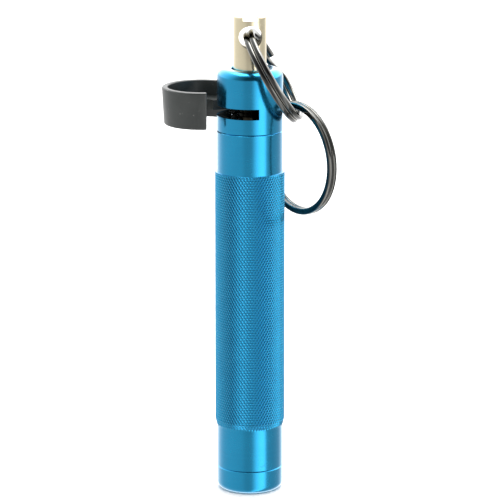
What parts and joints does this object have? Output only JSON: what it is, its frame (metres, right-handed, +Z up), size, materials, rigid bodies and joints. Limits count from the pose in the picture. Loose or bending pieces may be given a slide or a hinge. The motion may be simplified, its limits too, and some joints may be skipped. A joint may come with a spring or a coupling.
{
  "type": "keychain defence spray",
  "caption": "Slim knurled aluminium tube with a pump head, swing-out safety latch, press post and linked split rings.",
  "frame": {"origin": "centre of the end cap's flat bottom face, on the tube's axis", "axes": "+Z up the tube towards the post, -Y the front with the latch slot, -X the side the latch opens to, +X the side the rings hang on"},
  "size_m": [0.0411, 0.0258, 0.1144],
  "materials": {
    "blue_anodised": "bright anodised blue, fine turning lines, knurled grip",
    "post_nickel": "satin champagne nickel plate",
    "latch_plastic": "black moulded nylon, fine grain",
    "ring_steel": "black-nickel spring steel wire, semi-bright",
    "pin_steel": "ground steel",
    "spring_steel": "drawn spring wire",
    "seal_rubber": "matt black nitrile",
    "pad_foam": "closed-cell foam",
    "can_aluminium": "drawn aluminium, lacquered",
    "cup_steel": "tinplate",
    "valve_plastic": "natural acetal",
    "dip_plastic": "clear-white polyethylene",
    "bush_plastic": "black acetal",
    "nozzle_brass": "turned brass"
  },
  "bodies": {
    "tube": {"barrel": "blue_anodised", "canister_can": "can_aluminium", "dip_tube": "dip_plastic", "valve_cup": "cup_steel", "valve_housing": "valve_plastic", "valve_spring": "spring_steel", "stem_gasket": "seal_rubber", "return_spring": "spring_steel", "head": "blue_anodised", "head_oring": "seal_rubber", "post_bush": "bush_plastic", "latch_pin": "pin_steel"},
    "cap_carrier": {"cap_oring": "seal_rubber", "cushion_pad": "pad_foam"},
    "cap": {"end_cap": "blue_anodised"},
    "press": {"spray_button": "valve_plastic", "nozzle_insert": "nozzle_brass", "valve_stem": "valve_plastic"},
    "post": {"post": "post_nickel", "retaining_clip": "pin_steel"},
    "latch": {"latch": "latch_plastic"},
    "small_ring": {"small_split_ring": "ring_steel"},
    "large_ring": {"large_split_ring": "ring_steel"}
  },
  "joints": [
    {"name": "latch_swing", "type": "hinge", "parent": "tube", "child": "latch", "pos_m": [-0.00373, 0.00786, 0.0921], "axis": [0, 0, 1], "range_deg": [0, 87], "deforming": ["latch"]},
    {"name": "post_press", "type": "slide", "parent": "tube", "child": "press", "axis": [0, 0, 1], "range_m": [-0.001, 0], "stiffness_N_per_m": 1500, "springref_m": 0.001, "deforming": ["return_spring", "valve_spring"]},
    {"name": "post_swivel", "type": "hinge", "parent": "press", "child": "post", "pos_m": [0, 0, 0.1], "axis": [0, 0, 1], "range_deg": [-80, 35]},
    {"name": "small_ring_swing", "type": "hinge", "parent": "post", "child": "small_ring", "pos_m": [0, 0, 0.10965], "axis": [-0.0471, -0.9989, 0], "range_deg": [0, 200]},
    {"name": "large_ring_swing", "type": "hinge", "parent": "small_ring", "child": "large_ring", "pos_m": [0.01123, 0.00265, 0.09051], "axis": [0.0916, -0.9673, -0.2366], "range_deg": [0, 18]},
    {"name": "cap_slide", "type": "slide", "parent": "tube", "child": "cap_carrier", "axis": [0, 0, -1], "range_m": [0, 0.008]},
    {"name": "cap_turn", "type": "hinge", "parent": "cap_carrier", "child": "cap", "pos_m": [0, 0, 0], "axis": [0, 0, -1], "range_deg": [0, 2880]}
  ],
  "couplings": [
    {"joint": "cap_turn", "follows": "cap_slide", "rad_per_m": 6283.2}
  ]
}
